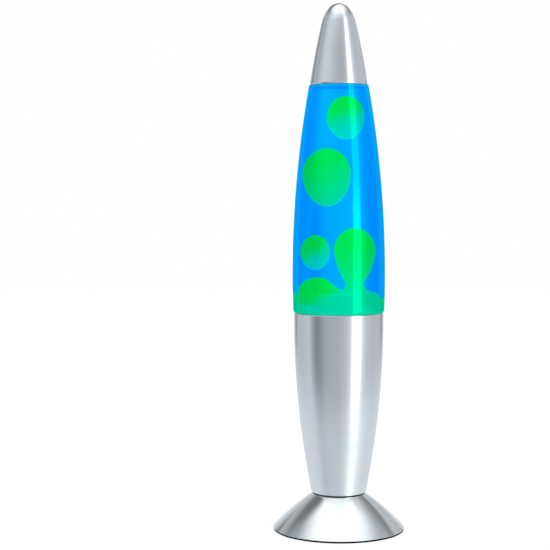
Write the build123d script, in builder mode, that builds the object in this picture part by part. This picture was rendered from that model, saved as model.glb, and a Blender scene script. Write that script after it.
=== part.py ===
from build123d import *
from math import atan2, cos, sin
import os

os.makedirs("parts", exist_ok=True)

# A free-standing motion lamp. +Z is up, the floor is z = 0, the lamp's axis is the Z axis,
# and the cord inlet is at the rear, +Y. Millimetres. A point is (radius or x, height).

lamp_height = 406.0
foot_radius = 50.9
pad_height = 1.4  # black foam under the whole foot
spun_wall = 1.2  # foot
casing_wall = 1.0
cap_wall = 0.7
glass_wall = 2.5
rest_gap = 0.1  # between the loose pieces that stand on each other
wax_gap = 0.2  # liquid kept clear of the floating wax

waist_z = 28.3  # top of the foot
gasket_height = 1.0
casing_bottom = waist_z + gasket_height
casing_top = 169.0
cap_bottom = 343.3
stem_radius = 5.0  # M10 x 1 lamp nipple
stem_bore = 3.4
holder_bottom = casing_bottom + casing_wall + 1.0
bulb_bottom = 40.5
bulb_top = 105.0
bottle_bottom = 118.0
mouth_z = 370.0
liquid_top = 349.0
pool_top = 184.6
cord_z = 9.2  # height of the cord inlet
cord_bore = 2.75


def save(piece, name):
    piece.part.label = name
    export_step(piece.part, f"parts/{name}.step")


def inset(points, wall):
    """The same curve, moved in towards the axis."""
    return [(r - wall, z) for r, z in points]


def dome(edge, top):
    """An arc from a point in to the axis, which it meets square."""
    r, z = edge
    radius = (r**2 + (top - z) ** 2) / (2 * (top - z))
    half = atan2(r, z - top + radius) / 2
    return [edge, (radius * sin(half), top - radius + radius * cos(half)), (0, top)]


def quarter(side, pole):
    """A quarter of an ellipse, from its side (r, z) to its pole on the axis (0, z)."""
    (r, z), top = side, pole[1]
    pull = 0.5523  # of each half axis, which makes the curve an ellipse's
    Bezier(side, (r, z + (top - z) * pull), (r * pull, top), pole)


def ring(name, outer, inner, bottom, height, soften=0.0):
    """A flat washer, or a disc where inner is 0."""
    with BuildPart() as piece:
        with BuildSketch(Plane.XY.offset(bottom)):
            Circle(outer)
            if inner:
                Circle(inner, mode=Mode.SUBTRACT)
        extrude(amount=height)
        if soften:
            chamfer(piece.edges().filter_by(GeomType.CIRCLE).sort_by(SortBy.RADIUS)[-2:], soften)
    save(piece, name)


# ---------------------------------------------------------------- foot
cone_top_r = 20.5
cone_edge = (49.0, 4.3)
cone_slope = atan2(waist_z - cone_edge[1], cone_edge[0] - cone_top_r)
cone_fall = (waist_z - cone_edge[1]) / (cone_edge[0] - cone_top_r)
wall_drop = spun_wall / cos(cone_slope)  # the wall's thickness, measured upright
plate_height = 2.0
plate_top = pad_height + plate_height


def cone_radius(z, drop=0.0):
    """Radius of the foot's slope at a height, on the line that is drop lower."""
    return cone_top_r + (waist_z - drop - z) / cone_fall


inlet_plane = Plane(origin=(0, 0, cord_z), x_dir=(1, 0, 0), z_dir=(0, 1, 0))
sleeve_radius = 4.2

with BuildPart() as foot_cone:
    with BuildSketch(Plane.XZ):
        with BuildLine():
            Polyline((stem_radius, waist_z), (cone_top_r, waist_z), cone_edge)
            ThreePointArc(cone_edge, (50.4, 3.1), (foot_radius, pad_height))
            Polyline(
                (foot_radius, pad_height),
                (foot_radius - 1.2, pad_height),
                (cone_radius(2.4, wall_drop), 2.4),
                (cone_radius(waist_z - spun_wall, wall_drop), waist_z - spun_wall),
                (stem_radius, waist_z - spun_wall),
                (stem_radius, waist_z),
            )
        make_face()
    revolve(axis=Axis.Z)
    shoulder = foot_cone.edges().filter_by(GeomType.CIRCLE).group_by(Axis.Z)[-1].sort_by(SortBy.RADIUS)[-1]
    fillet(shoulder, 0.6)
    with BuildSketch(inlet_plane):
        Circle(sleeve_radius)
    extrude(amount=60, mode=Mode.SUBTRACT)
save(foot_cone, "foot_cone")

ring("base_pad", foot_radius - 0.4, 0, 0, pad_height, soften=0.3)

screw_ring = 27.0
screw_angle = 30
screw_radius = 2.0
screw_head = 3.8
weight_height = 5.0

with BuildPart() as base_plate:
    with BuildSketch(Plane.XZ):
        Polygon(
            (0, pad_height),
            (foot_radius - 1.7, pad_height),
            (cone_radius(plate_top, wall_drop) - 0.1, plate_top),
            (0, plate_top),
            align=None,
        )
    revolve(axis=Axis.Z)
    with BuildSketch(Plane.XY.offset(pad_height)):
        with PolarLocations(screw_ring, 3, start_angle=screw_angle):
            Circle(screw_head)
    extrude(amount=plate_height, taper=42, mode=Mode.SUBTRACT)
save(base_plate, "base_plate")

with BuildPart() as counterweight_screws:
    with BuildSketch(Plane.XY.offset(pad_height)):
        with PolarLocations(screw_ring, 3, start_angle=screw_angle):
            Circle(screw_head)
    extrude(amount=plate_height, taper=42)
    with BuildSketch(Plane.XY.offset(plate_top)):
        with PolarLocations(screw_ring, 3, start_angle=screw_angle):
            Circle(screw_radius)
    extrude(amount=weight_height - 1)
save(counterweight_screws, "counterweight_screws")

with BuildPart() as counterweight:
    with BuildSketch(Plane.XY.offset(plate_top)):
        Circle(37.0)
        Circle(15.0, mode=Mode.SUBTRACT)
        with Locations((0, 30)):
            Rectangle(13.0, 40.0, mode=Mode.SUBTRACT)  # way for the cord
    extrude(amount=weight_height)
    chamfer(counterweight.edges().group_by(Axis.Z)[-1], 0.8)
    with BuildSketch(Plane.XY.offset(plate_top)):
        with PolarLocations(screw_ring, 3, start_angle=screw_angle):
            Circle(screw_radius)
    extrude(amount=weight_height - 1, mode=Mode.SUBTRACT)
save(counterweight, "counterweight")

with BuildPart() as cord_bushing:
    with BuildSketch(inlet_plane.offset(33.5)):
        Circle(sleeve_radius)
    extrude(amount=15.0)
    with BuildSketch(inlet_plane.offset(31.0)):
        Circle(sleeve_radius + 1.3)
    extrude(amount=2.5)
    fillet(cord_bushing.edges().group_by(Axis.Y)[-1], 0.8)
    with BuildSketch(inlet_plane.offset(30.0)):
        Circle(cord_bore)
    extrude(amount=30, mode=Mode.SUBTRACT)
save(cord_bushing, "cord_bushing")

# Two-way terminal block in the middle of the foot, and the leads that rise through the stem.
block_height = 8.0
block_top = plate_top + block_height
pole_x = 5.2
lead_radius = 0.9
lead_x = 1.35
lead_top = 38.3

with BuildPart() as terminal_block:
    with BuildSketch(Plane.XY.offset(plate_top)):
        RectangleRounded(17.0, 9.5, 1.0)
    extrude(amount=block_height)
    with BuildSketch(Plane.XY.offset(block_top)):
        with Locations((-pole_x, 0), (pole_x, 0)):
            Circle(1.9)
    extrude(amount=-3.0, mode=Mode.SUBTRACT)
    with BuildSketch(inlet_plane.offset(2.0)):
        with Locations((-pole_x, 1.8), (pole_x, 1.8)):
            Circle(1.2)
    extrude(amount=6.0, mode=Mode.SUBTRACT)
save(terminal_block, "terminal_block")

with BuildPart() as terminal_screws:
    with BuildSketch(Plane.XY.offset(block_top - 3.0)):
        with Locations((-pole_x, 0), (pole_x, 0)):
            Circle(1.9)
    extrude(amount=1.8)
    with BuildSketch(Plane.XY.offset(block_top - 1.2)):
        with Locations((-pole_x, 0), (pole_x, 0)):
            Rectangle(3.0, 0.6)
    extrude(amount=-0.8, mode=Mode.SUBTRACT)
save(terminal_screws, "terminal_screws")

for lead_name, side in (("lead_live", -1), ("lead_neutral", 1)):
    with BuildPart() as lead:
        with BuildSketch(Plane.XY.offset(block_top)):
            with Locations((side * lead_x, 0)):
                Circle(lead_radius)
        extrude(amount=lead_top - block_top)
    save(lead, lead_name)

# ---------------------------------------------------------------- waist and stem
foot_disc_bottom = waist_z - spun_wall
washer_height = 1.0
nut_height = 3.5
stem_bottom = 20.5
stem_top = 37.4

ring("waist_gasket", 20.4, stem_radius, waist_z, gasket_height)
ring("stem_washer_lower", 12.0, stem_radius, foot_disc_bottom - washer_height, washer_height)
ring("stem_washer_upper", 12.0, stem_radius, casing_bottom + casing_wall, washer_height)

with BuildPart() as stem_nut:
    with BuildSketch(Plane.XY.offset(foot_disc_bottom - washer_height)):
        RegularPolygon(radius=7.0, side_count=6, major_radius=False)
        Circle(stem_radius, mode=Mode.SUBTRACT)
    extrude(amount=-nut_height)
save(stem_nut, "stem_nut")

with BuildPart() as threaded_stem:
    with BuildSketch(Plane.XY.offset(stem_bottom)):
        Circle(stem_radius)
        Circle(stem_bore, mode=Mode.SUBTRACT)
    extrude(amount=stem_top - stem_bottom)
save(threaded_stem, "threaded_stem")

# ---------------------------------------------------------------- casing
casing_curve = [(21.45, casing_bottom + 1.4), (31.35, 98.0), (34.6, casing_top - 0.4)]

with BuildPart() as casing:
    with BuildSketch(Plane.XZ):
        with BuildLine():
            Polyline((stem_radius, casing_bottom), (20.6, casing_bottom))
            ThreePointArc((20.6, casing_bottom), (21.2, casing_bottom + 0.55), casing_curve[0])
            ThreePointArc(*casing_curve)
            inner = inset(casing_curve, casing_wall)
            ThreePointArc(casing_curve[-1], (34.1, casing_top), inner[-1])  # rounded lip
            ThreePointArc(*inner[::-1])
            Polyline(
                inner[0],
                (20.0, casing_bottom + casing_wall),
                (stem_radius, casing_bottom + casing_wall),
                (stem_radius, casing_bottom),
            )
        make_face()
    revolve(axis=Axis.Z)
save(casing, "casing")

# ---------------------------------------------------------------- lampholder
holder_top = 57.5
holder_radius = 12.6
holder_bore = 8.2
contact_z = 38.6

with BuildPart() as lampholder_body:
    with BuildSketch(Plane.XZ):
        with BuildLine():
            Polyline(
                (stem_radius, holder_bottom),
                (9.0, holder_bottom),
                (9.0, holder_bottom + 5.0),
                (holder_radius, holder_bottom + 8.0),
                (holder_radius, holder_top - 3.0),
                (holder_radius + 1.2, holder_top - 3.0),
                (holder_radius + 1.2, holder_top),
                (holder_bore, holder_top),
                (holder_bore, contact_z),
                (4.2, contact_z),
                (4.2, stem_top),
                (stem_radius, stem_top),
                (stem_radius, holder_bottom),
            )
        make_face()
    revolve(axis=Axis.Z)
save(lampholder_body, "lampholder_body")

thread_pitch = 2.82  # E14
with BuildPart() as lampholder_sleeve:
    with BuildSketch(Plane.XY.offset(42.0)):
        Circle(holder_bore)
        Circle(7.5, mode=Mode.SUBTRACT)
    extrude(amount=14.5)
save(lampholder_sleeve, "lampholder_sleeve")

with BuildPart() as lampholder_contact:
    with BuildSketch(Plane.XZ):
        with BuildLine():
            crown = dome((3.0, contact_z + 0.6), bulb_bottom - rest_gap)
            Polyline((0, contact_z), (5.2, contact_z), (5.2, contact_z + 0.6), crown[0])
            ThreePointArc(*crown)
            Line(crown[-1], (0, contact_z))
        make_face()
    revolve(axis=Axis.Z)
save(lampholder_contact, "lampholder_contact")

# ---------------------------------------------------------------- reflector bulb, E14
cap_bottom_z = bulb_bottom + 2.7
cap_top_z = 61.6
thread_radius = 6.9

with BuildPart() as bulb_tip:
    with BuildSketch(Plane.XZ):
        with BuildLine():
            quarter((2.2, bulb_bottom + 1.2), (0, bulb_bottom))
            Polyline((2.2, bulb_bottom + 1.2), (0, bulb_bottom + 1.2), (0, bulb_bottom))
        make_face()
    revolve(axis=Axis.Z)
save(bulb_tip, "bulb_tip")

with BuildPart() as bulb_insulator:
    with BuildSketch(Plane.XZ):
        Polygon(
            (0, bulb_bottom + 1.2),
            (3.0, bulb_bottom + 1.2),
            (6.2, cap_bottom_z),
            (0, cap_bottom_z),
            align=None,
        )
    revolve(axis=Axis.Z)
save(bulb_insulator, "bulb_insulator")

with BuildPart() as bulb_screw_cap:
    with BuildSketch(Plane.XZ):
        Polygon(
            (5.6, cap_bottom_z),
            (6.2, cap_bottom_z),
            (6.5, cap_bottom_z + 1.0),
            (6.5, cap_top_z),
            (6.0, cap_top_z),
            (6.0, cap_bottom_z + 1.4),
            (5.6, cap_bottom_z + 1.4),
            align=None,
        )
        for turn in range(4):  # the rolled thread, as a bead for each turn
            bead = cap_bottom_z + 2.6 + turn * thread_pitch
            with Locations((6.5, bead)):
                Circle(thread_radius - 6.5)
    revolve(axis=Axis.Z)
save(bulb_screw_cap, "bulb_screw_cap")

envelope_wall = 0.7
bowl = [(6.0, 62.6), (10.4, 77.0), (19.0, 89.5)]
brow = [bowl[-1], (19.4, 92.5), (18.0, 95.6)]
face = dome(brow[-1], bulb_top)
face_inside = dome((17.4, 95.2), bulb_top - envelope_wall)

with BuildPart() as bulb_envelope:
    with BuildSketch(Plane.XZ):
        with BuildLine():
            Polyline((5.3, 58.0), (6.0, 58.0), bowl[0])
            ThreePointArc(*bowl)
            ThreePointArc(*brow)
            ThreePointArc(*face)
            Line(face[-1], face_inside[-1])
            ThreePointArc(*face_inside)
            ThreePointArc(face_inside[0], (18.7, 92.4), (18.3, 89.9))
            ThreePointArc((18.3, 89.9), (9.8, 77.4), (5.3, 62.8))
            Line((5.3, 62.8), (5.3, 58.0))
        make_face()
    revolve(axis=Axis.Z)
save(bulb_envelope, "bulb_envelope")

mount_top = 74.0
with BuildPart() as bulb_mount:
    with BuildSketch(Plane.XZ):
        Polygon(
            (0, 58.0),
            (5.3, 58.0),
            (5.3, 59.0),
            (2.8, 62.0),
            (2.2, mount_top),
            (0, mount_top),
            align=None,
        )
    revolve(axis=Axis.Z)
save(bulb_mount, "bulb_mount")

wire_radius = 0.3
with BuildPart() as bulb_filament:
    with BuildLine():
        FilletPolyline(
            (-1.6, 0, mount_top),
            (-5.0, 0, 85.0),
            (5.0, 0, 85.0),
            (1.6, 0, mount_top),
            radius=1.5,
        )
    with BuildSketch(Plane(origin=(-1.6, 0, mount_top), x_dir=(0, 1, 0), z_dir=(-3.4, 0, 11.0))):
        Circle(wire_radius)
    sweep()
    split(bisect_by=Plane.XY.offset(mount_top), keep=Keep.TOP)
save(bulb_filament, "bulb_filament")

# ---------------------------------------------------------------- bottle
glass_curve = [(35.25, 171.4), (33.6, 256.0), (22.9, cap_bottom - rest_gap)]
glass_foot = casing_top + rest_gap
ledge_z = glass_curve[-1][1]


def cavity():
    """The inside of the bottle, from its floor to above its mouth."""
    wide = inset(glass_curve, glass_wall)
    with BuildPart() as hollow:
        with BuildSketch(Plane.XZ):
            with BuildLine():
                Polyline((0, mouth_z + 1), (0, bottle_bottom + 3), (25.5, bottle_bottom + 3))
                ThreePointArc(
                    (25.5, bottle_bottom + 3), (27.4, bottle_bottom + 4), (28.0, bottle_bottom + 6)
                )
                Line((28.0, bottle_bottom + 6), (30.5, 166.5))
                ThreePointArc((30.5, 166.5), (31.4, 170.4), (wide[0][0], 174.5))
                ThreePointArc((wide[0][0], 174.5), wide[1], (wide[2][0], 342.0))
                ThreePointArc((wide[2][0], 342.0), (16.6, 351.8), (8.4, 357.0))
                Polyline((8.4, 357.0), (8.4, mouth_z + 1), (0, mouth_z + 1))
            make_face()
        revolve(axis=Axis.Z)
    return hollow.part


bottle_inside = cavity()

with BuildPart() as bottle:
    with BuildSketch(Plane.XZ):
        with BuildLine():
            Polyline((0, mouth_z), (0, bottle_bottom), (27.0, bottle_bottom))
            ThreePointArc(
                (27.0, bottle_bottom), (29.6, bottle_bottom + 1.1), (30.6, bottle_bottom + 3.8)
            )
            Polyline((30.6, bottle_bottom + 3.8), (33.0, glass_foot), (34.4, glass_foot))
            ThreePointArc((34.4, glass_foot), (35.0, glass_foot + 0.75), glass_curve[0])
            ThreePointArc(*glass_curve)
            Polyline(glass_curve[-1], (21.2, ledge_z), (21.2, 345.0))
            ThreePointArc((21.2, 345.0), (18.4, 352.6), (11.4, 358.8))
            Polyline(
                (11.4, 358.8),
                (11.4, 364.0),
                (13.3, 365.0),
                (13.3, mouth_z),
                (0, mouth_z),
            )
        make_face()
    revolve(axis=Axis.Z)
    add(bottle_inside, mode=Mode.SUBTRACT)
save(bottle, "bottle")

liner_height = 0.8
crown_wall = 0.35
crown_under = mouth_z + liner_height
ring("crown_liner", 13.0, 0, mouth_z, liner_height)

flutes = 21
with BuildPart() as crown_cap:
    with BuildSketch(Plane.XZ):
        with BuildLine():
            Polyline((0, crown_under), (13.4, crown_under), (13.4, 368.0), (15.2, 365.2))
            Polyline((15.2, 365.2), (16.0, 365.2), (13.9, 369.4))
            ThreePointArc((13.9, 369.4), (13.5, 370.8), (12.0, crown_under + crown_wall))
            Polyline((12.0, crown_under + crown_wall), (0, crown_under + crown_wall), (0, crown_under))
        make_face()
    revolve(axis=Axis.Z)
    with BuildSketch(Plane.XY.offset(365.0)):
        with PolarLocations(17.0, flutes):
            Circle(1.3)
    extrude(amount=4.0, mode=Mode.SUBTRACT)
save(crown_cap, "crown_cap")

# ---------------------------------------------------------------- wax and liquid
# Each floating lump: place, width at its widest, and how far it reaches above and below that.
lumps = {
    "wax_upper": dict(centre=(5.4, 0.5, 318.6), radius=14.7, rise=17.0, fall=16.6),
    "wax_large": dict(centre=(-9.1, 0.0, 275.2), radius=19.0, rise=20.1, fall=24.7),
    "wax_small": dict(centre=(-18.1, -3.0, 215.6), radius=11.6, rise=12.9, fall=13.9),
}
column_x = 12.4
column_y = 1.0
column_top = 234.3
column_side = (16.1, 215.8)  # where it is widest
mound_place = (-16.6, -3.0)


def lump(centre, radius, rise, fall, grown=0.0):
    """A rounded lump of wax, turned about its own upright axis."""
    x, y, z = centre
    upright = Plane(origin=(x, y, z), x_dir=(1, 0, 0), z_dir=(0, -1, 0))
    wide = radius + grown
    with BuildPart() as body:
        with BuildSketch(upright):
            with BuildLine():
                quarter((wide, 0), (0, rise + grown))
                quarter((wide, 0), (0, -fall - grown))
                Line((0, -fall - grown), (0, rise + grown))
            make_face()
        revolve(axis=Axis((x, y, 0), (0, 0, 1)))
    return body


with BuildPart() as wax_coil:
    with BuildLine():
        turns = Helix(pitch=2.6, height=7.8, radius=22.0, center=(0, 0, bottle_bottom + 4.2))
    with BuildSketch(Plane(origin=turns @ 0, z_dir=turns % 0)):
        Circle(0.7)
    sweep()
save(wax_coil, "wax_coil")

with BuildPart() as wax_pool:
    add(bottle_inside)
    split(bisect_by=Plane.XY.offset(pool_top), keep=Keep.BOTTOM)
    upright = Plane(origin=(column_x, column_y, 0), x_dir=(1, 0, 0), z_dir=(0, -1, 0))
    with BuildSketch(upright):
        with BuildLine():
            Spline((13.0, pool_top - 1.0), (7.4, 190.5), column_side, tangents=((-1, 0.05), (0, 1)))
            quarter(column_side, (0, column_top))
            Polyline((0, column_top), (0, pool_top - 1.0), (13.0, pool_top - 1.0))
        make_face()
    revolve(axis=Axis((column_x, column_y, 0), (0, 0, 1)))
    with BuildSketch(Plane(origin=(*mound_place, pool_top), x_dir=(1, 0, 0), z_dir=(0, -1, 0))):
        with BuildLine():
            quarter((16.2, -4.0), (0, 10.6))
            Polyline((16.2, -4.0), (0, -4.0), (0, 10.6))
        make_face()
    revolve(axis=Axis((*mound_place, 0), (0, 0, 1)))
    add(bottle_inside, mode=Mode.INTERSECT)
    add(wax_coil.part, mode=Mode.SUBTRACT)
save(wax_pool, "wax_pool")

with BuildPart() as liquid:
    add(bottle_inside)
    split(bisect_by=Plane.XY.offset(liquid_top), keep=Keep.BOTTOM)
    add(wax_pool.part, mode=Mode.SUBTRACT)
    add(wax_coil.part, mode=Mode.SUBTRACT)
    for size in lumps.values():
        add(lump(**size, grown=wax_gap).part, mode=Mode.SUBTRACT)
save(liquid, "liquid")

for lump_name, size in lumps.items():
    save(lump(**size), lump_name)

# ---------------------------------------------------------------- cap
cap_side = [(22.3, cap_bottom + 0.3), (18.1, 368.2), (12.95, 391.7)]
cap_shoulder = [cap_side[-1], (10.75, 397.8), (8.0, 402.0)]
tip = dome(cap_shoulder[-1], lamp_height)
side_inside = inset(cap_side, cap_wall)
shoulder_inside = [side_inside[-1], (10.1, 397.4), (7.5, 401.4)]
tip_inside = dome(shoulder_inside[-1], lamp_height - cap_wall)

with BuildPart() as cap:
    with BuildSketch(Plane.XZ):
        with BuildLine():
            for stretch in (cap_side, cap_shoulder, tip, tip_inside, shoulder_inside, side_inside):
                ThreePointArc(*stretch)
            Line(tip[-1], tip_inside[-1])
            ThreePointArc(side_inside[0], (21.95, cap_bottom), cap_side[0])  # rolled lip
        make_face()
    revolve(axis=Axis.Z)
save(cap, "cap")
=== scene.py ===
import math

import bmesh
import bpy
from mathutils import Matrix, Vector


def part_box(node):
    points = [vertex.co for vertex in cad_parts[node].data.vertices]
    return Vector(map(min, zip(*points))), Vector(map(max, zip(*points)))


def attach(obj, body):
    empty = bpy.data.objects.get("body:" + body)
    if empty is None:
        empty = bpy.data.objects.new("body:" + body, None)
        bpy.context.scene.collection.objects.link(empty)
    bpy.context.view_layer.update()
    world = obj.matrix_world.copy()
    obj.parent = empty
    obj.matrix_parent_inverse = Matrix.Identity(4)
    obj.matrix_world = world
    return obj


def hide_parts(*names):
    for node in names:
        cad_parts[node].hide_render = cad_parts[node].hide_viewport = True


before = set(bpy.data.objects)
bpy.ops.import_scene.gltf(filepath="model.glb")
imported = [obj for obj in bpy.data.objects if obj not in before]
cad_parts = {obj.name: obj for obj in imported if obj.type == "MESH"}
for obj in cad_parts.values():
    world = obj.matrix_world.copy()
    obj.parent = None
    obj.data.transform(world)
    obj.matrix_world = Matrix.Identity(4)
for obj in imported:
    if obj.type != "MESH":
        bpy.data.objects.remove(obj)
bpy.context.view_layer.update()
mm = 0.001
samePoint = 1e-7  # two ends this close are one point
mergeWithin = 2e-6
print("frame loaded")


# shader maths: a value's socket that can be added, multiplied and so on
class Value:
    def __init__(self, recipe, socket):
        self.recipe = recipe
        self.socket = socket

    def maths(self, operation, *values):
        made = self.recipe.node("Math", {"operation": operation}, dict(enumerate(values)))
        return Value(self.recipe, made.outputs[0])

    def __add__(self, other):
        return self.maths("ADD", self, other)

    def __sub__(self, other):
        return self.maths("SUBTRACT", self, other)

    def __rsub__(self, other):
        return self.maths("SUBTRACT", other, self)

    def __mul__(self, other):
        return self.maths("MULTIPLY", self, other)

    def held(self):  # kept between 0 and 1
        made = self.recipe.node("Clamp", {}, {"Value": self})
        return Value(self.recipe, made.outputs[0])

    def between(self, low, high, toLow=0.0, toHigh=1.0, ease="SMOOTHSTEP"):
        ends = {"From Min": low, "From Max": high, "To Min": toLow, "To Max": toHigh, "Value": self}
        made = self.recipe.node("MapRange", {"interpolation_type": ease}, ends)
        return Value(self.recipe, made.outputs["Result"])

    __radd__ = __add__
    __rmul__ = __mul__


# a node tree, for a material or the world
class Recipe:
    def __init__(self, tree):
        self.tree = tree
        tree.nodes.clear()

    def node(self, kind, settings=None, inputs=None):
        made = self.tree.nodes.new("ShaderNode" + kind)
        for key, setting in (settings or {}).items():
            if key == "stops":
                self.fillRamp(made.color_ramp, setting)
            else:
                setattr(made, key, setting)
        for key, given in (inputs or {}).items():
            if isinstance(given, Value):
                given = given.socket
            if isinstance(given, bpy.types.NodeSocket):
                self.tree.links.new(given, made.inputs[key])
            else:
                made.inputs[key].default_value = given
        return made

    def fillRamp(self, ramp, stops):
        while len(ramp.elements) < len(stops):
            ramp.elements.new(0.5)
        for element, (place, colour) in zip(ramp.elements, stops):
            element.position = place
            element.color = (*colour, 1)

    def place(self, scale=(1, 1, 1), shift=(0, 0, 0)):
        spot = self.node("TexCoord")
        move = {"Vector": spot.outputs["Object"], "Scale": scale, "Location": shift}
        return self.node("Mapping", {}, move).outputs[0]

    def axes(self, vector):
        parts = self.node("SeparateXYZ", {}, {0: vector})
        return [Value(self, out) for out in parts.outputs]

    def noise(self, vector, scale, detail=3.0, rough=0.5):
        sockets = {"Vector": vector, "Scale": scale, "Detail": detail, "Roughness": rough}
        return Value(self, self.node("TexNoise", {}, sockets).outputs["Fac"])

    def blend(self, share, first, second):  # of two colours
        made = self.node("Mix", {"data_type": "RGBA"}, {0: share, 6: first, 7: second})
        return made.outputs[2]

    def bump(self, height, depth, strength):
        made = self.node("Bump", {}, {"Height": height, "Distance": depth, "Strength": strength})
        return made.outputs[0]

    def finish(self, shader, kind="OutputMaterial"):
        self.node(kind, {}, {"Surface": shader})


def startMaterial(name):
    material = bpy.data.materials.new(name)
    material.use_nodes = True
    return material, Recipe(material.node_tree)


def grey(level, warmth=0.0):  # a cold or warm grey
    return (level * (1 + warmth), level, level * (1 - warmth))


def solid(colour):
    return (*colour, 1)


# the tool runs round the piece, so its marks are long round it and very short along Z
spunMarks = {"fine": (7, 7, 2400), "broad": (3, 3, 260), "cloud": (16, 16, 8)}


def spunAluminium(name, options):
    material, mix = startMaterial(name)
    fine = mix.noise(mix.place(spunMarks["fine"]), 1.0, 2.0)
    broad = mix.noise(mix.place(spunMarks["broad"]), 1.0, 2.0)
    cloud = mix.noise(mix.place(spunMarks["cloud"]), 1.0, 2.0)
    marks = fine * 0.45 + broad * 0.2 + cloud * 0.35
    shade = mix.blend(marks.between(0.3, 0.7), solid(options["dark"]), solid(options["light"]))
    metal = {
        "Base Color": shade,
        "Metallic": 1.0,
        "Roughness": marks.between(0.3, 0.7, options["smoothest"], options["roughest"]),
        "Anisotropic": options["brushed"],
        "Normal": mix.bump(fine * 0.7 + broad * 0.3, options["markDepth"], options["markShare"]),
    }
    mix.finish(mix.node("BsdfPrincipled", {}, metal).outputs[0])
    return material


plainWear = {"spots": 400.0, "tarnish": 90.0, "depth": 0.00002, "share": 0.4}


def plainMetal(name, light, dark, roughness):
    material, mix = startMaterial(name)
    spots = mix.noise(mix.place(), plainWear["spots"], 4.0, 0.6)
    tarnish = mix.noise(mix.place(), plainWear["tarnish"], 3.0)
    metal = {
        "Base Color": mix.blend(tarnish.between(0.35, 0.7), solid(light), solid(dark)),
        "Metallic": 1.0,
        "Roughness": spots.between(0.3, 0.7, roughness - 0.06, roughness + 0.1),
        "Normal": mix.bump(spots, plainWear["depth"], plainWear["share"]),
    }
    mix.finish(mix.node("BsdfPrincipled", {}, metal).outputs[0])
    return material


# dull and moulded finishes
def dullFinish(name, light, dark, roughness, grain=1500.0, depth=0.00004, coat=0.0, specular=0.5):
    material, mix = startMaterial(name)
    pores = mix.noise(mix.place(), grain, 3.0, 0.6)
    patches = mix.noise(mix.place(), 60.0, 3.0)
    finish = {
        "Base Color": mix.blend(patches.between(0.3, 0.7), solid(light), solid(dark)),
        "Roughness": pores.between(0.3, 0.7, roughness - 0.05, roughness + 0.07),
        "Normal": mix.bump(pores, depth, 0.5),
        "Coat Weight": coat,
        "Specular IOR Level": specular,
    }
    mix.finish(mix.node("BsdfPrincipled", {}, finish).outputs[0])
    return material


# glass, liquid and wax: heights are in metres, edges are shares of Layer Weight's Facing
bottleLook = {
    "clear": (1.0, 1.0, 1.0),
    "blueEdgeHighlight": (0.002, 0.33, 0.95),  # painted highlight: the glass seen edge on is painted glowing in the colour of what it holds
    "greenEdgeHighlight": (0.001, 0.52, 0.25),
    "blueEdgeShade": (0.0, 0.16, 0.48),
    "greenEdgeShade": (0.0, 0.40, 0.18),
    "blueTint": (0.0, 0.42, 0.98),
    "greenTint": (0.0, 0.70, 0.45),
    "pool": (0.0, 0.55, 0.37), "poolSideShade": (0.0, 0.42, 0.27),
    "opaque": 0.6,
    "edgeFrom": 0.47, "edgeTo": 0.56, "lineFrom": 0.74, "lineTo": 0.88, "sideShadeFrom": 0.05, "sideShadeTo": 0.45,
    "waxLine": 0.1825, "waxSoft": 0.0008, "waxSlope": 0.06, "waxRipple": 0.001,  # green below it, blue above, for the painted edge highlight and edge shade
    "poolLine": 0.1762, "poolSoft": 0.0012, "restLine": 0.1690, "restSoft": 0.0004,  # painted glow strip of the wax pool behind the glass, between restLine and poolLine
    "shine": (0.0, 0.25, 0.06), "shineRough": 0.03,
}


def facingOf(mix):
    return Value(mix, mix.node("LayerWeight", {}, {"Blend": 0.5}).outputs["Facing"])


def clearShader(mix, tint):
    return mix.node("BsdfTransparent", {}, {"Color": solid(tint)}).outputs[0]


def lightShader(mix, colour):
    return mix.node("Emission", {}, {"Color": solid(colour), "Strength": 1.0}).outputs[0]


def glossShader(mix, colour, roughness):
    return mix.node("BsdfAnisotropic", {}, {"Color": solid(colour), "Roughness": roughness}).outputs[0]


def mixShaders(mix, share, first, second):
    return mix.node("MixShader", {}, {0: share, 1: first, 2: second}).outputs[0]


def bottleGlass():
    look = bottleLook
    material, mix = startMaterial("bottleGlass")
    facing = facingOf(mix)
    x, z = mix.axes(mix.place())[::2]
    seed = mix.noise(mix.place((60, 60, 20)), 1.0, 2.0)
    level = z + x * look["waxSlope"] + (seed - 0.5) * look["waxRipple"]
    aboveWax = level.between(look["waxLine"] - look["waxSoft"], look["waxLine"] + look["waxSoft"])
    abovePool = z.between(look["poolLine"] - look["poolSoft"], look["poolLine"] + look["poolSoft"])
    belowRest = z.between(look["restLine"] - look["restSoft"], look["restLine"], 1.0, 0.0)

    def byLevel(green, blue):
        return mixShaders(mix, aboveWax, green, blue)

    # painted highlight on the glass edges, then painted shade at the outline, green below the wax line and
    # blue above
    edge = byLevel(lightShader(mix, look["greenEdgeHighlight"]), lightShader(mix, look["blueEdgeHighlight"]))
    line = byLevel(lightShader(mix, look["greenEdgeShade"]), lightShader(mix, look["blueEdgeShade"]))
    tint = byLevel(clearShader(mix, look["greenTint"]), clearShader(mix, look["blueTint"]))
    glow = mixShaders(mix, facing.between(look["lineFrom"], look["lineTo"]), edge, line)
    rim = mixShaders(mix, look["opaque"], tint, glow)
    band = facing.between(look["edgeFrom"], look["edgeTo"])
    through = mixShaders(mix, band, clearShader(mix, look["clear"]), rim)
    # painted glow of the wax pool in a strip of the glass, with painted shade towards its sides
    side = facing.between(look["sideShadeFrom"], look["sideShadeTo"])
    paintedPoolGlow = mixShaders(mix, side, lightShader(mix, look["pool"]), lightShader(mix, look["poolSideShade"]))
    foot = mixShaders(mix, facing.between(look["lineFrom"], look["lineTo"]), paintedPoolGlow, line)
    glass = mixShaders(mix, (abovePool + belowRest).held(), foot, through)
    shine = glossShader(mix, look["shine"], look["shineRough"])
    front = mix.node("AddShader", {}, {0: glass, 1: shine}).outputs[0]
    behind = mix.node("NewGeometry").outputs["Backfacing"]  # a wall seen from inside has no shine
    mix.finish(mixShaders(mix, behind, front, glass))
    return material


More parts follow.
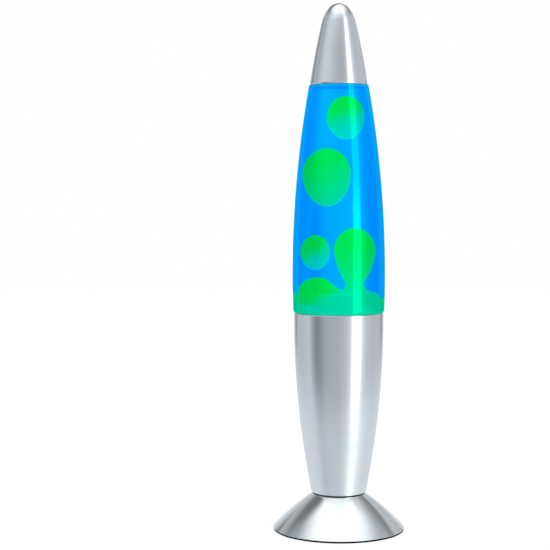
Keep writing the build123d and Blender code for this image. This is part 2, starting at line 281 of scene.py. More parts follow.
def innerGlass():
    material, mix = startMaterial("innerGlass")
    seed = mix.noise(mix.place((90, 90, 40)), 1.0, 2.0)
    share = seed.between(0.4, 0.8, 0.0, 0.02)
    mix.finish(mixShaders(mix, share, clearShader(mix, (1, 1, 1)), clearShader(mix, (0.8, 0.97, 1.0))))
    return material


# painted glow: near-black glass whose emission stands in for the light behind it
def paintedGlowGlass(name, dark, light):
    material, mix = startMaterial(name)
    seed = mix.noise(mix.place((150, 150, 150)), 1.0, 2.0)
    glow = mix.blend(seed.between(0.3, 0.7), solid(dark), solid(light))
    glass = {
        "Base Color": (0.0, 0.02, 0.02, 1), "Roughness": 0.3, "Specular IOR Level": 0.1,
        "Emission Color": glow, "Emission Strength": 1.0,
    }
    mix.finish(mix.node("BsdfPrincipled", {}, glass).outputs[0])
    return material


liquidLook = {
    # middle and side are the dye's tints, side darker as painted shade where the surface slants away; top is
    # the painted glow above the ledge
    "middle": (0.0, 0.53, 0.985), "side": (0.0, 0.355, 0.995), "top": (0.0, 0.29, 0.98),
    "sideShadeTo": 0.32, "drift": 0.25, "narrowFrom": 0.25, "narrowTo": 0.34, "thinner": 0.34,
}


def dyedLiquid():
    look = liquidLook
    material, mix = startMaterial("dyedLiquid")
    facing = facingOf(mix)
    z = mix.axes(mix.place())[2]
    drift = mix.noise(mix.place((10, 10, 5)), 1.0, 1.0)
    # less dye to look through where the bottle narrows
    thin = z.between(look["narrowFrom"], look["narrowTo"], 0.0, look["thinner"])
    # painted shade: darker dye where the surface slants away, towards the sides
    sideShade = facing.between(0.0, look["sideShadeTo"], 0.0, 1.0, "LINEAR")
    depth = (sideShade + (drift - 0.5) * look["drift"] - thin).held()
    mix.finish(mixShaders(mix, depth, clearShader(mix, look["middle"]), clearShader(mix, look["side"])))
    return material


waxLook = {
    "body": (0.0, 0.06, 0.01),
    "leaf": (0.0, 0.93, 0.03),  # painted light: clear green at the tops
    "grass": (0.0, 0.89, 0.11),
    "fern": (0.0, 0.87, 0.18),
    "sea": (0.0, 0.82, 0.26),
    "teal": (0.0, 0.78, 0.48),  # painted shade: bluer green at the undersides
    "strength": 1.27, "swirl": 0.10,
}


def paintedGlowWax(name, stops, low, high, lean=0.0, across=0.03, paintedSideLightStops=None, glowPatch=None):
    look = waxLook
    material, mix = startMaterial(name)
    x, z = mix.axes(mix.place())[::2]
    swirl = mix.noise(mix.place((45, 45, 30)), 1.0, 2.0)
    height = z - x * lean + (swirl - 0.5) * (high - low) * look["swirl"]
    share = height.between(low, high, 0.0, 1.0, "LINEAR")
    ramp = [(place, look[tone]) for place, tone in stops]
    glow = mix.node("ValToRGB", {"stops": ramp}, {0: share}).outputs[0]
    if glowPatch:
        away = mix.node("VectorMath", {"operation": "DISTANCE"}, {0: mix.place(), 1: glowPatch["centre"]})
        near = Value(mix, away.outputs["Value"]).between(glowPatch["inner"], glowPatch["outer"], 1.0, 0.0)
        glow = mix.blend(near, glow, solid(look[glowPatch["tone"]]))
    # painted side light: the emission is scaled by a ramp from left to right
    side = x.between(-across, across, 0.0, 1.0, "LINEAR")
    shades = paintedSideLightStops or [(0, (1, 1, 1)), (1, (1, 1, 1))]
    shade = mix.node("ValToRGB", {"stops": shades}, {0: side}).outputs[0]
    shaded = mix.node("Mix", {"data_type": "RGBA", "blend_type": "MULTIPLY"}, {0: 1.0, 6: glow, 7: shade})
    # painted glow: the emission is painted light, running from the teal undersides to the clear green tops;
    # the base colour is a little lighter at the tops too
    wax = {
        "Base Color": mix.blend(share, solid(look["body"]), solid(tuple(c * 1.2 for c in look["body"]))),
        "Roughness": swirl.between(0.3, 0.7, 0.35, 0.5),
        "Emission Color": shaded.outputs[2],
        "Emission Strength": look["strength"],
        "Specular IOR Level": 0.1,
    }
    mix.finish(mix.node("BsdfPrincipled", {}, wax).outputs[0])
    return material


# turned pieces: an outline of (radius, height) drawn in the XZ plane, then spun
class Outline:
    def __init__(self, r, z):
        self.mesh = bmesh.new()
        self.last = self.mesh.verts.new((r, 0, z))

    def line(self, *points):
        for r, z in points:
            made = bmesh.ops.extrude_vert_indiv(self.mesh, verts=[self.last])
            self.last = made["verts"][0]
            self.last.co = (r, 0, z)
        return self

    def arc(self, mid, end, steps=12):  # the circle through the last point, mid and end
        start = Vector((self.last.co.x, self.last.co.z))
        centre = circleCentre(start, Vector(mid), Vector(end))
        turn = (start - centre).angle_signed(Vector(end) - centre)
        halfTurn = (start - centre).angle_signed(Vector(mid) - centre)
        if turn * halfTurn < 0:
            turn -= math.copysign(2 * math.pi, turn)
        spun = bmesh.ops.spin(
            self.mesh, geom=[self.last], cent=(centre.x, 0, centre.y), axis=(0, 1, 0),
            angle=turn, steps=steps,
        )
        self.last = spun["geom_last"][0]
        self.last.co = (end[0], 0, end[1])
        return self

    def turned(self, steps=144, close=True):
        made = self.mesh
        if close:
            made.verts.ensure_lookup_table()
            first, last = made.verts[0], self.last
            apart = (first.co - last.co).length > samePoint
            if apart and min(first.co.x, last.co.x) > samePoint:
                made.edges.new((last, first))
        bmesh.ops.spin(
            made, geom=made.verts[:] + made.edges[:], cent=(0, 0, 0), axis=(0, 0, 1),
            angle=2 * math.pi, steps=steps, use_merge=True,
        )
        bmesh.ops.remove_doubles(made, verts=made.verts, dist=mergeWithin)
        bmesh.ops.recalc_face_normals(made, faces=made.faces)
        return made


def circleCentre(a, b, c):
    def mid(p, q):
        return (p + q) / 2

    ab, bc = b - a, c - b
    cross = ab.x * bc.y - ab.y * bc.x
    away = mid(b, c) - mid(a, b)
    along = (away.x * bc.x + away.y * bc.y) / cross
    return mid(a, b) + Vector((-ab.y, ab.x)) * along


def inward(points, wall):
    return [(r - wall, z) for r, z in points]


def domeMiddle(edge, top):  # half way along an arc that meets the axis square
    r, z = edge
    radius = (r * r + (top - z) ** 2) / (2 * (top - z))
    half = math.atan2(r, z - top + radius) / 2
    return (radius * math.sin(half), top - radius + radius * math.cos(half))


def piece(name, shape, materials, body, replaced, sharpAbove=32):
    mesh = bpy.data.meshes.new(name)
    shape.to_mesh(mesh)
    shape.free()
    for face in mesh.polygons:
        face.use_smooth = True
    mesh.set_sharp_from_angle(angle=math.radians(sharpAbove))
    for material in materials:
        mesh.materials.append(material)
    made = bpy.data.objects.new(name, mesh)
    bpy.context.scene.collection.objects.link(made)
    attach(made, body)
    if replaced:
        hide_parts(*replaced)


def joinShapes(parts):
    whole = bmesh.new()
    for part in parts:
        mesh = bpy.data.meshes.new("part")
        part.to_mesh(mesh)
        part.free()
        whole.from_mesh(mesh)
        bpy.data.meshes.remove(mesh)
    return whole


def boxOf(node):
    low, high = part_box(node)
    return Vector(low), Vector(high)


# foot
footMetal = {
    "dark": (0.80, 0.83, 0.84), "light": (0.85, 0.88, 0.89), "smoothest": 0.06, "roughest": 0.10,
    "brushed": 0.3, "markDepth": 0.000004, "markShare": 0.25,
}
footShape = {
    "topRadius": 20.5 * mm, "shoulder": 0.5 * mm, "wall": 1.2 * mm, "hole": 5.0 * mm, "rimWidth": 1.4 * mm,
    "fullness": (35.8 * mm, 16.2 * mm), "slopeEnd": (50.55 * mm, 1.95 * mm),
}


def buildFoot():
    low, high = boxOf("foot_cone")
    size = footShape
    top, edge, soft = high.z, low.z, size["shoulder"]
    outline = Outline(size["hole"], top)
    outline.line((size["topRadius"] - soft, top))
    start = (size["topRadius"] + soft * 0.9, top - soft * 0.7)
    outline.arc((size["topRadius"] + soft * 0.1, top - soft * 0.15), start, 6)
    outline.arc(size["fullness"], size["slopeEnd"], 28)
    outline.arc((high.x - 0.08 * mm, edge + 0.25 * mm), (high.x, edge + 0.12 * mm), 3)
    outline.arc((high.x - 0.05 * mm, edge + 0.03 * mm), (high.x - 0.2 * mm, edge), 3)
    outline.line((high.x - size["rimWidth"], edge))
    inner = [(r - size["wall"] * 0.6, z - size["wall"] * 0.8) for r, z in (size["fullness"], start)]
    outline.arc(inner[0], inner[1], 20)
    outline.line((size["hole"], inner[1][1]))
    metal = spunAluminium("footAluminium", footMetal)
    piece("footCone", outline.turned(192), [metal], "stand", ["foot_cone"])


buildFoot()


def buildPad():
    low, high = boxOf("base_pad")
    soft = 0.3 * mm
    outline = Outline(0, low.z).line((high.x - soft, low.z))
    outline.arc((high.x - soft * 0.3, low.z + soft * 0.3), (high.x, low.z + soft), 4)
    outline.line((high.x, high.z - soft))
    outline.arc((high.x - soft * 0.3, high.z - soft * 0.3), (high.x - soft, high.z), 4)
    outline.line((0, high.z))
    foam = dullFinish("blackFoam", grey(0.0006), grey(0.0015), 0.95, 2200.0, 0.0001, specular=0.0)
    piece("basePad", outline.turned(144), [foam], "stand", ["base_pad"])


buildPad()


def buildGasket():
    low, high = boxOf("waist_gasket")
    half = (high.z - low.z) / 2
    outline = Outline(5 * mm, low.z).line((high.x - half, low.z))
    outline.arc((high.x, low.z + half), (high.x - half, high.z), 8)
    outline.line((5 * mm, high.z))
    # the gasket's near-black stands in for the shadow line at the waist: painted shade
    rubber = dullFinish("blackRubberAndWaistShade", grey(0.012), grey(0.022), 0.55, 1800.0, 0.00003)
    piece("waistGasketShadeLine", outline.turned(144), [rubber], "stand", ["waist_gasket"])
    return rubber


blackRubberAndWaistShade = buildGasket()
print("foot built")

# casing
casingMetal = {
    "dark": (0.78, 0.81, 0.84), "light": (0.83, 0.86, 0.89), "smoothest": 0.15, "roughest": 0.20,
    "brushed": 0.5, "markDepth": 0.000004, "markShare": 0.25,
}
casingShape = {
    "waist": (21.45 * mm, 30.7 * mm), "middle": (31.35 * mm, 98.0 * mm), "wall": 1.0 * mm, "lip": 0.85 * mm,
    "corner": 0.6 * mm,
}


def buildCasing():
    low, high = boxOf("casing")
    size = casingShape
    lip = size["lip"]
    curve = [size["waist"], size["middle"], (high.x - 0.01 * mm, high.z - lip)]
    inner = inward(curve, size["wall"])
    corner = (size["waist"][0] - 0.2 * mm, low.z + size["corner"])
    outline = Outline(5 * mm, low.z).line((corner[0] - size["corner"], low.z))
    outline.arc((corner[0] - size["corner"] * 0.3, low.z + size["corner"] * 0.3), corner, 6)
    outline.line(curve[0]).arc(curve[1], curve[2], 40)
    outline.arc((high.x - lip * 0.3, high.z - lip * 0.3), (high.x - lip, high.z), 8)
    outline.line(inner[2]).arc(inner[1], inner[0], 32)
    outline.line((inner[0][0] - 0.6 * mm, low.z + size["wall"]), (5 * mm, low.z + size["wall"]))
    metal = spunAluminium("casingAluminium", casingMetal)
    piece("casingShell", outline.turned(192), [metal], "stand", ["casing"])


buildCasing()
print("casing built")

# bottle
bottleShape = {
    "wall": 2.5 * mm, "floorWall": 3.0 * mm, "bellyRise": 5.4 * mm,
    "plugTop": 33.0 * mm, "plugFoot": 30.6 * mm, "restRadius": 34.4 * mm,
    "belly": 35.25 * mm, "middle": (33.6 * mm, 256.0 * mm), "ledgeRadius": 22.9 * mm, "spigot": 21.2 * mm,
    "neck": 11.4 * mm, "lip": 13.3 * mm, "mouth": 8.4 * mm, "liquidGap": 0.06 * mm, "waxGap": 0.35 * mm,
    "waxFloorGap": 0.4 * mm,
}


def bottleLevels():  # floor, rest, ledge and mouth heights, from the frame
    low, high = boxOf("bottle")
    return low.z, boxOf("casing")[1].z + 0.1 * mm, boxOf("cap")[0].z - 0.1 * mm, high.z


def addInside(outline, gap):  # down the inside of the glass, from the ledge to the axis
    rest = bottleLevels()[1]
    size = bottleShape
    wall = size["wall"] + gap
    middle = (size["middle"][0] - wall, size["middle"][1])
    outline.arc(middle, (size["belly"] - wall, rest + size["bellyRise"]), 48)
    addPlugInside(outline, gap, gap)


def addPlugInside(outline, gap, floorGap):  # the part of the inside that stands in the casing
    floor, rest = bottleLevels()[:2]
    bottom = floor + bottleShape["floorWall"] + floorGap
    outline.arc((31.2 * mm - gap, rest + 1.3 * mm), (30.5 * mm - gap, rest - 2.6 * mm), 6)
    outline.line((28.0 * mm - gap, floor + 6 * mm))
    outline.arc((27.4 * mm - gap, floor + 4 * mm), (25.5 * mm - gap, bottom), 6)
    outline.line((0, bottom))


def buildBottle():
    floor, rest, ledge, mouth = bottleLevels()
    size = bottleShape
    belly = (size["belly"], rest + 2.3 * mm)
    outer = Outline(0, floor).line((27.0 * mm, floor))
    outer.arc((29.6 * mm, floor + 1.1 * mm), (size["plugFoot"], floor + 3.8 * mm), 8)
    outer.line((size["plugTop"], rest), (size["restRadius"], rest))
    outer.arc((size["restRadius"] + 0.6 * mm, rest + 0.75 * mm), belly, 8)
    outer.arc(size["middle"], (size["ledgeRadius"] + 0.05 * mm, ledge - 0.5 * mm), 56)
    ledgeRadius = size["ledgeRadius"]
    outer.arc((ledgeRadius - 0.1 * mm, ledge - 0.12 * mm), (ledgeRadius - 0.5 * mm, ledge), 5)
    outer.line((size["spigot"], ledge), (size["spigot"], ledge + 1.8 * mm))
    outer.arc((18.4 * mm, ledge + 9.4 * mm), (size["neck"], ledge + 15.6 * mm), 12)
    outer.line((size["neck"], mouth - 6 * mm))
    outer.arc((size["lip"] - 0.4 * mm, mouth - 5.4 * mm), (size["lip"], mouth - 4.4 * mm), 5)
    outer.line((size["lip"], mouth - 0.9 * mm))
    outer.arc((size["lip"] - 0.35 * mm, mouth - 0.25 * mm), (size["lip"] - 1.2 * mm, mouth), 5)
    outer.line((size["mouth"] + 0.8 * mm, mouth))
    outer.arc((size["mouth"] + 0.2 * mm, mouth - 0.2 * mm), (size["mouth"], mouth - 0.9 * mm), 5)
    inner = Outline(size["mouth"], mouth - 0.9 * mm).line((size["mouth"], ledge + 13.8 * mm))
    inner.arc((16.6 * mm, ledge + 8.6 * mm), (size["ledgeRadius"] - size["wall"], ledge - 1.2 * mm), 10)
    addInside(inner, 0)
    outerShape, innerShape = outer.turned(160, close=False), inner.turned(160, close=False)
    for face in outerShape.faces:  # the two flat rings get painted glow, green at the rest and blue at the ledge
        middle = face.calc_center_median()
        if abs(middle.z - rest) < 0.01 * mm:
            face.material_index = 2
        elif ledge - 0.62 * mm < middle.z < ledge + 0.01 * mm:
            face.material_index = 3
    for face in innerShape.faces:
        face.material_index = 1
    shape = joinShapes([outerShape, innerShape])
    bmesh.ops.remove_doubles(shape, verts=shape.verts, dist=mergeWithin)
    bmesh.ops.recalc_face_normals(shape, faces=shape.faces)
    base = paintedGlowGlass("greenPaintedGlowGlass", (0.0, 0.20, 0.11), (0.0, 0.28, 0.16))
    shoulder = paintedGlowGlass("bluePaintedGlowGlass", (0.0, 0.17, 0.34), (0.0, 0.21, 0.40))
    materials = [bottleGlass(), innerGlass(), base, shoulder]
    piece("bottleGlass", shape, materials, "bottle", ["bottle"])


def buildLiquid():
    ledge = bottleLevels()[2]
    size = bottleShape
    top = boxOf("liquid")[1].z
    outline = Outline(0, top).line((16.6 * mm, top))
    outline.arc((18.0 * mm, top - 0.5 * mm), (18.6 * mm, top - 1.6 * mm), 4)
    outline.line((size["ledgeRadius"] - size["wall"] - size["liquidGap"], ledge - 1.2 * mm))
    addInside(outline, size["liquidGap"])
    shape = outline.turned(160)
    for face in shape.faces:  # above the ledge the liquid gets painted glow under the cap
        if face.calc_center_median().z > ledge - 1.3 * mm:
            face.material_index = 1
    # painted glow on the liquid above the ledge, in liquidLook's top colour
    paintedTopGlow = paintedGlowGlass("paintedGlowLiquid", liquidLook["top"], tuple(c * 0.96 for c in liquidLook["top"]))
    piece("liquid", shape, [dyedLiquid(), paintedTopGlow], "bottle", ["liquid"])


buildBottle()
buildLiquid()
print("bottle built")

# wax
lumpShape = {
    "wax_upper": {
        "widest": 0.505, "ripple": 0.25 * mm, "lean": 0.33,
        "stops": (
            (0.0, "teal"), (0.14, "teal"), (0.43, "sea"), (0.57, "grass"), (0.70, "leaf"), (1.0, "leaf"),
        ),
    },
    "wax_large": {
        "widest": 0.45, "ripple": 0.35 * mm, "lean": 0.70,
        "stops": (
            (0.0, "teal"), (0.08, "sea"), (0.28, "fern"), (0.46, "grass"), (0.74, "leaf"), (1.0, "leaf"),
        ),
    },
    "wax_small": {
        "widest": 0.48, "ripple": 0.2 * mm, "lean": 0.60,
        "stops": (
            (0.0, "teal"), (0.14, "teal"), (0.40, "sea"), (0.55, "grass"), (0.66, "leaf"), (1.0, "leaf"),
        ),
    },
}


def buildLump(node):
    low, high = boxOf(node)
    size = lumpShape[node]
    centre = (low + high) / 2
    radius = (high.x - low.x) / 2
    widest = high.z - (high.z - low.z) * size["widest"]
    shape = bmesh.new()
    bmesh.ops.create_uvsphere(shape, u_segments=72, v_segments=48, radius=1.0)
    for vert in shape.verts:
        x, y, z = vert.co
        reach = (high.z - widest) if z > 0 else (widest - low.z)
        wobble = 1 - size["ripple"] / radius * (1 + math.sin(3 * z + 2 * x) * math.cos(2 * y - z))
        vert.co = (centre.x + x * radius * wobble, centre.y + y * radius * wobble, widest + z * reach)
    bmesh.ops.recalc_face_normals(shape, faces=shape.faces)
    reach = math.hypot((high.z - low.z) / 2, radius * size["lean"])
    level = centre.z - centre.x * size["lean"]
    wax = paintedGlowWax(node + "Glow", size["stops"], level - reach, level + reach, size["lean"])
    piece(node.replace("wax_", "waxLump"), shape, [wax], node, [node], sharpAbove=180)


for node in lumpShape:
    buildLump(node)

poolShape = {
    "top": 184.3 * mm, "glowFoot": 176 * mm,
    "column": (12.4 * mm, 1.0 * mm), "columnTop": 234.3 * mm, "columnSide": (16.1 * mm, 215.8 * mm),
    "neck": (7.2 * mm, 190.0 * mm), "columnFoot": (15.0 * mm, 0.6 * mm), "columnDepth": 8 * mm,
    "mound": (-17.0 * mm, -3.0 * mm), "moundDepth": 4 * mm, "oval": 0.92,
    "mounds": ((0.0, 16.3 * mm, 11.8 * mm), (6.0 * mm, 15.5 * mm, 6.6 * mm)),  # shift, radius and height
    "voxel": 0.9 * mm, "smoothing": 12,
    "stops": ((0.0, "sea"), (0.14, "sea"), (0.26, "fern"), (0.46, "grass"), (0.76, "leaf"), (1.0, "leaf")),
    "paintedSideLight": (  # painted side light, from left to right
        (0, (1, 1.1, 0.85)), (0.28, (1, 1.1, 0.85)), (0.45, (1, 1, 1)), (0.6, (1, 1, 1)),
        (0.85, (1, 1.14, 0.68)),
    ),
}


def remeshed(shape, voxel, smoothing):  # one skin over parts that cross
    mesh = bpy.data.meshes.new("rough")
    shape.to_mesh(mesh)
    shape.free()
    rough = bpy.data.objects.new("rough", mesh)
    bpy.context.scene.collection.objects.link(rough)
    skin = rough.modifiers.new("skin", "REMESH")
    skin.mode = "VOXEL"
    skin.voxel_size = voxel
    even = rough.modifiers.new("even", "SMOOTH")
    even.factor = 0.5
    even.iterations = smoothing
    evaluated = rough.evaluated_get(bpy.context.evaluated_depsgraph_get())
    result = bpy.data.meshes.new_from_object(evaluated)
    bpy.data.objects.remove(rough)
    made = bmesh.new()
    made.from_mesh(result)
    bpy.data.meshes.remove(result)
    return made


def buildPool():
    rest = bottleLevels()[1]
    size, glass = poolShape, bottleShape
    top, gap = size["top"], glass["waxGap"]
    wide = glass["belly"] - glass["wall"] - gap
    pool = Outline(0, top).line((14.0 * mm, top))
    pool.arc((24.0 * mm, top - 0.2 * mm), (wide, top - 1.2 * mm), 12)
    pool.line((wide, rest + glass["bellyRise"]))
    addPlugInside(pool, gap, glass["waxFloorGap"])
    sideR, sideZ = size["columnSide"]
    neckR, neckZ = size["neck"]
    crown = size["columnTop"]
    column = Outline(0, crown)
    column.arc((sideR * 0.7, sideZ + (crown - sideZ) * 0.715), (sideR, sideZ), 16)
    column.arc((sideR * 0.79, sideZ - 13.5 * mm), (neckR + 1.0 * mm, neckZ + 4.0 * mm), 12)
    column.arc((neckR, neckZ), (neckR + 1.6 * mm, neckZ - 3.4 * mm), 6)
    footR, footDrop = size["columnFoot"]
    bottom = top - size["columnDepth"]
    column.line((footR, top - footDrop), (footR, bottom), (0, bottom))
    columnShape = column.turned(72)
    bmesh.ops.translate(columnShape, verts=columnShape.verts, vec=(*size["column"], 0))
    moundX, moundY = size["mound"]
    mounds = []
    sunk = size["moundDepth"]
    for shift, radius, height in size["mounds"]:
        mound = bmesh.new()
        bmesh.ops.create_uvsphere(mound, u_segments=48, v_segments=32, radius=1.0)
        bmesh.ops.scale(mound, verts=mound.verts, vec=(radius, radius * size["oval"], height + sunk))
        bmesh.ops.translate(mound, verts=mound.verts, vec=(moundX + shift, moundY, top - sunk))
        mounds.append(mound)
    skin = remeshed(joinShapes([pool.turned(96), columnShape, *mounds]), size["voxel"], size["smoothing"])
    for vert in skin.verts:  # nothing bulges through the glass
        reach = math.hypot(vert.co.x, vert.co.y)
        if reach > wide:
            vert.co.x *= wide / reach
            vert.co.y *= wide / reach
    bmesh.ops.recalc_face_normals(skin, faces=skin.faces)
    glowPatch = {  # painted glow: a clearer green patch on the mound than on the pool round it
        "centre": (moundX - 4 * mm, moundY - 10 * mm, top + 6 * mm),
        "inner": 12 * mm, "outer": 25 * mm, "tone": "leaf",
    }
    low = size["glowFoot"]
    wax = paintedGlowWax("waxPoolGlow", size["stops"], low, crown, 0.05, 0.033, size["paintedSideLight"], glowPatch)
    piece("waxPool", skin, [wax], "bottle", ["wax_pool"], sharpAbove=180)


buildPool()
print("wax built")


# crown cap on the bottle's neck
crownShape = {
    "flutes": 21, "fluteDepth": 1.1 * mm, "fluteDrop": 1.2 * mm, "fluteLength": 4 * mm,
    "shoulder": 13.6 * mm, "tin": 0.35 * mm, "flat": 11.6 * mm,
}


def buildCrown():
    low, high = boxOf("crown_cap")
    size = crownShape
    flat, inside = size["flat"], high.z - size["tin"]
    skirtFoot = low.z + 0.1 * mm
    outline = Outline(0, high.z)
    outline.line((flat, high.z))
    outline.arc((13.5 * mm, high.z - 0.45 * mm), (14.0 * mm, high.z - 1.8 * mm), 6)
    outline.line((14.5 * mm, high.z - 3.2 * mm), (15.2 * mm, high.z - 4.6 * mm))
    outline.line((high.x - 0.1 * mm, skirtFoot), (high.x - 0.5 * mm, skirtFoot))
    outline.line((14.7 * mm, high.z - 4.6 * mm), (13.9 * mm, high.z - 2.6 * mm))
    outline.line((13.5 * mm, high.z - 0.9 * mm), (flat, inside), (0, inside))
    shape = outline.turned(168)
    for vert in shape.verts:  # the flutes grow from nothing at the shoulder to full depth at the skirt
        r = math.hypot(vert.co.x, vert.co.y)
        if r > size["shoulder"]:
            depth = min((high.z - size["fluteDrop"] - vert.co.z) / size["fluteLength"], 1.0)
            wave = (math.cos(size["flutes"] * math.atan2(vert.co.y, vert.co.x)) - 1) / 2
            scale = 1 + max(depth, 0) * wave * size["fluteDepth"] / r
            vert.co.x *= scale
            vert.co.y *= scale
    tin = plainMetal("tinPlate", (0.78, 0.77, 0.74), (0.62, 0.61, 0.58), 0.24)
    piece("crownCap", shape, [tin], "bottle", ["crown_cap"])
    return tin


tinPlate = buildCrown()

# cap
capMetal = {
    "dark": (0.80, 0.82, 0.835), "light": (0.85, 0.87, 0.885), "smoothest": 0.13, "roughest": 0.18,
    "brushed": 0.45, "markDepth": 0.000004, "markShare": 0.25,
}
capShape = {
    "side": [(22.3 * mm, 343.6 * mm), (18.1 * mm, 368.2 * mm), (12.95 * mm, 391.7 * mm)],
    "shoulder": [(10.75 * mm, 397.8 * mm), (8.0 * mm, 402.0 * mm)], "wall": 0.7 * mm,
    "innerShoulder": [(10.1 * mm, 397.4 * mm), (7.5 * mm, 401.4 * mm)],
}


def buildCap():
    low, high = boxOf("cap")
    size = capShape
    side, shoulder = size["side"], size["shoulder"]
    inner, innerShoulder = inward(side, size["wall"]), size["innerShoulder"]
    innerTop = high.z - size["wall"]
    outline = Outline(*side[0]).arc(side[1], side[2], 32).arc(shoulder[0], shoulder[1], 12)
    outline.arc(domeMiddle(shoulder[1], high.z), (0, high.z), 14)
    outline.line((0, innerTop)).arc(domeMiddle(innerShoulder[1], innerTop), innerShoulder[1], 10)
    outline.arc(innerShoulder[0], inner[2], 8).arc(inner[1], inner[0], 24)
    outline.arc((side[0][0] - size["wall"] / 2, low.z), side[0], 6)
    metal = spunAluminium("capAluminium", capMetal)
    piece("capShell", outline.turned(176, close=False), [metal], "cap", ["cap"])


buildCap()
print("cap built")

# materials of the CAD pieces that stay
cadFinish = {
    "base_plate": plainMetal("zincPlate", (0.66, 0.67, 0.68), (0.52, 0.53, 0.55), 0.34),
    "counterweight": dullFinish("blackIron", grey(0.03), grey(0.05), 0.6, 900.0, 0.0001),
    "counterweight_screws": plainMetal("zincScrew", (0.7, 0.7, 0.68), (0.5, 0.5, 0.5), 0.3),
    "cord_bushing": blackRubberAndWaistShade,
    "terminal_block": dullFinish("whiteNylon", grey(0.72), grey(0.66), 0.5, 1200.0, 0.00002),
    "terminal_screws": plainMetal("brassScrew", (0.80, 0.62, 0.28), (0.62, 0.46, 0.2), 0.3),
    "lead_live": dullFinish("brownLead", (0.14, 0.05, 0.02), (0.10, 0.035, 0.015), 0.4),
    "lead_neutral": dullFinish("blueLead", (0.02, 0.09, 0.36), (0.015, 0.07, 0.28), 0.4),
    "stem_washer_lower": plainMetal("zincWasher", (0.68, 0.68, 0.68), (0.55, 0.55, 0.55), 0.32),
    "threaded_stem": plainMetal("zincStem", (0.68, 0.67, 0.64), (0.5, 0.5, 0.5), 0.34),
    "lampholder_body": dullFinish(
        "glazedPorcelain", (0.80, 0.79, 0.75), (0.74, 0.73, 0.69), 0.3, 300.0, 0.00002, 0.6
    ),
    "lampholder_sleeve": plainMetal("brassSleeve", (0.80, 0.62, 0.28), (0.6, 0.45, 0.2), 0.28),
    "bulb_insulator": dullFinish("fusedBlackGlass", grey(0.02), grey(0.03), 0.25, 500.0, 0.00002),
    "bulb_tip": plainMetal("solderTip", (0.6, 0.6, 0.6), (0.45, 0.45, 0.45), 0.35),
    "bulb_screw_cap": plainMetal("nickelBrass", (0.75, 0.72, 0.62), (0.6, 0.57, 0.48), 0.27),
    "bulb_envelope": dullFinish(
        "frostedBulb", (0.86, 0.86, 0.84), (0.80, 0.80, 0.79), 0.35, 800.0, 0.00001, 0.4
    ),
    "bulb_mount": dullFinish("mountGlass", (0.7, 0.74, 0.74), (0.62, 0.66, 0.66), 0.2, 400.0, 0.00001, 0.5),
    "bulb_filament": plainMetal("tungstenWire", (0.4, 0.4, 0.42), (0.3, 0.3, 0.32), 0.45),
    "crown_liner": dullFinish("linerPlastic", grey(0.75), grey(0.68), 0.5),
}
cadFinish["stem_washer_upper"] = cadFinish["stem_washer_lower"]
cadFinish["stem_nut"] = cadFinish["threaded_stem"]
cadFinish["lampholder_contact"] = cadFinish["lampholder_sleeve"]
cadFinish["wax_coil"] = tinPlate


def finishCadPieces():
    for node, material in cadFinish.items():
        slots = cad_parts[node].data.materials
        for index in range(len(slots)):
            slots[index] = material


finishCadPieces()
print("CAD pieces finished")

# studio
studio = {
    "floorSize": 6.0, "sun": 1.2, "sunSpread": 30, "floorGlow": 0.74,
    "bandWarmth": -0.06, "skyWarmth": -0.04, "overhead": 1.35, "darkStrip": 0.25,
}
bandHeights = {  # where each band gives way to the next one up
    "casing": (-0.22, -0.06), "cap": (0.08, 0.20), "dome": (0.46, 0.70), "overhead": (0.70, 0.98),
}


def buildFloor():
    shape = bmesh.new()
    bmesh.ops.create_grid(shape, x_segments=8, y_segments=8, size=studio["floorSize"] / 2)
    mesh = bpy.data.meshes.new("floor")
    shape.to_mesh(mesh)
    shape.free()
    floor = bpy.data.objects.new("floor", mesh)
    bpy.context.scene.collection.objects.link(floor)
    material, mix = startMaterial("paleFloor")
    grain = mix.noise(mix.place(), 30.0, 2.0)
    shade = mix.blend(grain, solid(grey(0.26)), solid(grey(0.28)))
    paint = {
        "Base Color": shade, "Roughness": 0.9, "Specular IOR Level": 0.1,
        "Emission Color": (1, 1, 1, 1), "Emission Strength": studio["floorGlow"],
    }
    mix.finish(mix.node("BsdfPrincipled", {}, paint).outputs[0])
    floor.data.materials.append(material)
    floor.visible_glossy = False  # the metal mirrors the studio's lower half instead


def around(*stops):  # bearings in degrees, 0 at the front and 180 at the back, against brightness
    return [((bearing + 180) / 360, grey(level, studio["bandWarmth"])) for bearing, level in stops]


def upwards(*stops):  # heights from the horizon, 0, to overhead, 1
    return [(height, grey(level, studio["skyWarmth"])) for height, level in stops]


waistBand = around(
    (-180, 0.80), (-100, 0.78), (-74, 0.72), (-60, 0.61), (-52, 0.60), (-35, 0.65), (0, 0.67),
    (15, 0.74), (28, 0.88), (42, 1.30), (57, 1.30), (72, 0.94), (89, 0.84), (106, 0.78), (180, 0.82),
)
casingBand = around(
    (-180, 0.85), (-156, 0.72), (-130, 0.58), (-112, 0.56), (-96, 0.60), (-80, 0.66), (-71, 0.40),
    (-62, 0.28), (-52, 0.27), (-42, 0.40), (-32, 0.46), (0, 0.51), (20, 0.60), (35.5, 0.82), (39, 2.7),
    (55.5, 2.7), (59.5, 0.86), (74, 0.64), (95, 0.56), (130, 0.58), (156, 0.72), (180, 0.85),
)
capBand = around(
    (-180, 1.1), (-170, 0.82), (-162, 0.68), (-152, 0.58), (-142, 0.25), (-135, 0.25), (-124, 0.46),
    (-112, 0.50), (-104, 0.42), (-88, 0.58), (-72, 0.70), (-58, 0.74), (-35, 0.63), (-18, 0.56),
    (0, 0.48), (26, 0.50), (37, 0.64), (42, 1.7), (57, 1.7), (62, 0.82), (76, 0.60), (89, 0.55),
    (128, 0.60), (144, 0.52), (158, 0.55), (170, 0.85), (180, 1.1),
)
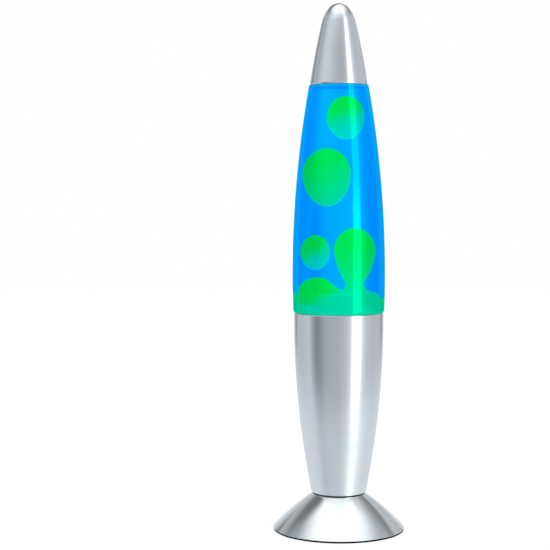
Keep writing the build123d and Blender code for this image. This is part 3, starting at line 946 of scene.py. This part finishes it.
domeBand = around(
    (-180, 0.9), (-150, 0.5), (-128, 0.42), (-106, 0.43), (-89, 0.54), (-74, 0.72), (-58, 0.87),
    (-30, 0.93), (0, 0.76), (25, 0.70), (36, 0.76), (45, 1.15), (58, 1.15), (70, 0.75), (88, 0.5),
    (128, 0.5), (150, 0.6), (180, 0.9),
)
rearLeft = upwards(
    (0, 0.95), (0.17, 0.74), (0.39, 0.55), (0.52, 0.39), (0.60, 0.22), (0.74, 0.18), (0.82, 0.24),
    (0.86, 0.40), (0.895, 0.85), (0.93, 1.2), (1, 1.35),
)
rearRight = upwards(
    (0, 0.9), (0.18, 0.6), (0.26, 0.45), (0.35, 0.68), (0.47, 0.52), (0.54, 0.25), (0.67, 0.34),
    (0.76, 0.55), (0.84, 0.72), (0.87, 0.55), (0.90, 0.95), (0.94, 1.25), (1, 1.35),
)


def buildWorld():
    world = bpy.data.worlds.new("softStudio")
    world.use_nodes = True
    bpy.context.scene.world = world
    mix = Recipe(world.node_tree)
    x, y, z = mix.axes(mix.node("TexCoord").outputs["Generated"])
    bearing = x.maths("ARCTAN2", x, y * -1.0) * (0.5 / math.pi) + 0.5

    def band(stops, along=bearing):
        return mix.node("ValToRGB", {"stops": stops}, {0: along}).outputs[0]

    off = x.maths("ABSOLUTE", bearing - 0.5)  # 0 at the front, a half at the back
    height = z + (0.5 - off) * 0.44
    front = mix.blend(height.between(*bandHeights["casing"]), band(waistBand), band(casingBand))
    # two dark strips behind the lamp, which the casing shows as lines near its edges
    edgeLine = off.between(0.365, 0.385) * off.between(0.405, 0.43, 1.0, 0.0)
    dark = solid(grey(studio["darkStrip"], studio["skyWarmth"]))
    front = mix.blend(edgeLine * z.between(-0.16, -0.09) * 0.9, front, dark)
    front = mix.blend(z.between(*bandHeights["cap"]), front, band(capBand))
    front = mix.blend(z.between(*bandHeights["dome"]), front, band(domeBand))
    bright = solid(grey(studio["overhead"], studio["skyWarmth"]))
    front = mix.blend(z.between(*bandHeights["overhead"]), front, bright)
    rear = mix.blend(x.between(-0.12, 0.12), band(rearLeft, z.held()), band(rearRight, z.held()))
    behind = off.between(0.30, 0.36) * z.between(0.34, 0.42)
    sky = mix.blend(behind, front, rear)
    ray = Value(mix, mix.node("LightPath").outputs["Is Camera Ray"])
    seen = mix.blend(ray, sky, (1, 1, 1, 1))
    mix.finish(mix.node("Background", {}, {"Color": seen, "Strength": 1.0}).outputs[0], "OutputWorld")


def buildSun():  # straight down, so that the floor is evenly white
    light = bpy.data.lights.new("overhead", "SUN")
    light.energy = studio["sun"]
    light.angle = math.radians(studio["sunSpread"])
    lamp = bpy.data.objects.new("overhead", light)
    lamp.visible_glossy = False
    bpy.context.scene.collection.objects.link(lamp)


cameraView = {"distance": 1.1, "height": 0.255, "down": 2.98, "left": 2.56, "roll": 0.11, "lens": 93.2}


def buildCamera():
    lens = bpy.data.cameras.new("view")
    lens.lens = cameraView["lens"]
    camera = bpy.data.objects.new("view", lens)
    camera.location = (0, -cameraView["distance"], cameraView["height"])
    tilt = (90 - cameraView["down"], cameraView["roll"], cameraView["left"])
    camera.rotation_euler = [math.radians(angle) for angle in tilt]
    bpy.context.scene.collection.objects.link(camera)
    bpy.context.scene.camera = camera


buildFloor()
buildWorld()
buildSun()
buildCamera()
bpy.context.scene.view_settings.view_transform = "Standard"
print("studio ready")
